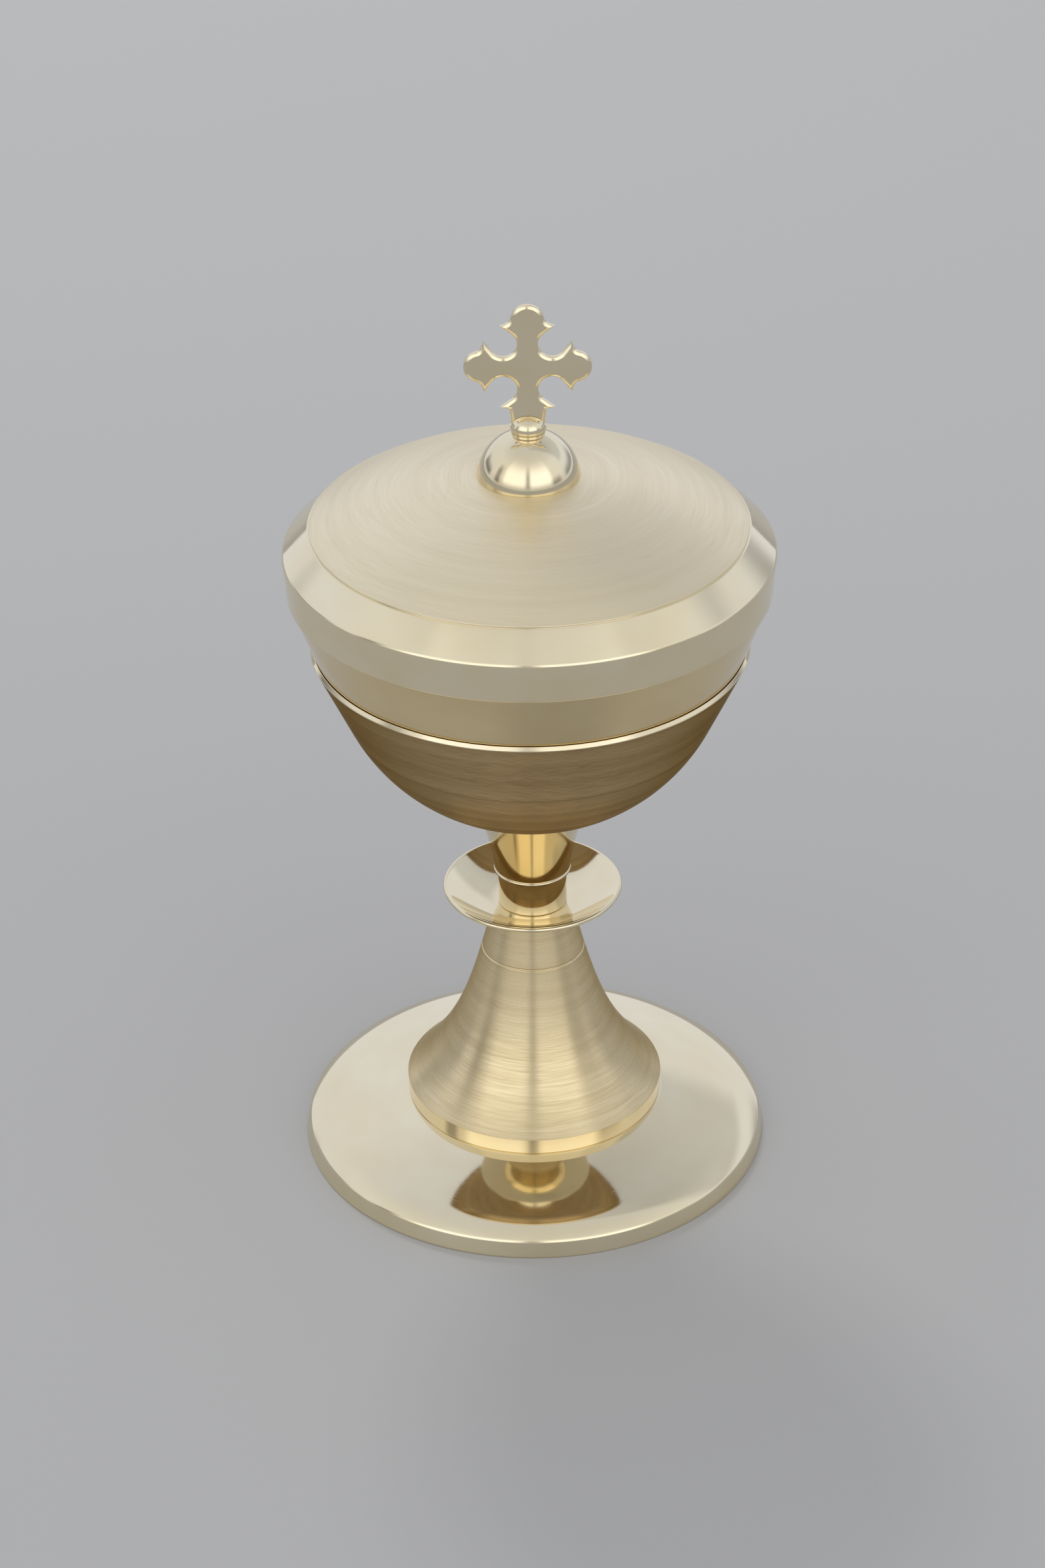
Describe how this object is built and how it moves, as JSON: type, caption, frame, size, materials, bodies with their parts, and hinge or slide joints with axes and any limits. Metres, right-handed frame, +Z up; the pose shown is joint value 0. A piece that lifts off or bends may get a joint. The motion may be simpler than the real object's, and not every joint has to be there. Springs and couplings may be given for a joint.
{
  "type": "ciborium",
  "caption": "Lidded ciborium: a wide bowl on a trumpet stem with a dish knop and a low domed foot, under a domed lid that lifts off and ends in a cross.",
  "frame": {"origin": "centre of the ring that the foot stands on, at the bottom of the bounding box", "axes": "+Z up along the turned axis; the cross lies flat in the XZ plane and its front faces -Y"},
  "size_m": [0.1128, 0.1128, 0.2195],
  "materials": {
    "polished_gilt": "mirror polished",
    "brushed_gilt": "brushed round the axis",
    "plain_brass": "machined"
  },
  "bodies": {
    "vessel": {"base_shell": "polished_gilt", "base_washer": "plain_brass", "base_nut": "plain_brass", "tie_rod": "plain_brass", "bell_stem": "brushed_gilt", "knop_saucer": "polished_gilt", "lower_collar": "polished_gilt", "upper_collar": "polished_gilt", "outer_bowl": "brushed_gilt", "cup": "polished_gilt", "cup_boss": "plain_brass"},
    "lid": {"lid_cover": "brushed_gilt", "lid_locating_ring": "plain_brass", "finial_boss": "polished_gilt", "finial_collar": "polished_gilt", "cross": "polished_gilt", "finial_washer": "plain_brass", "finial_nut": "plain_brass", "finial_stud": "plain_brass"}
  },
  "joints": [
    {"name": "lid_lift", "type": "slide", "parent": "vessel", "child": "lid", "axis": [0, 0, 1], "range_m": [0, 0.1]}
  ]
}
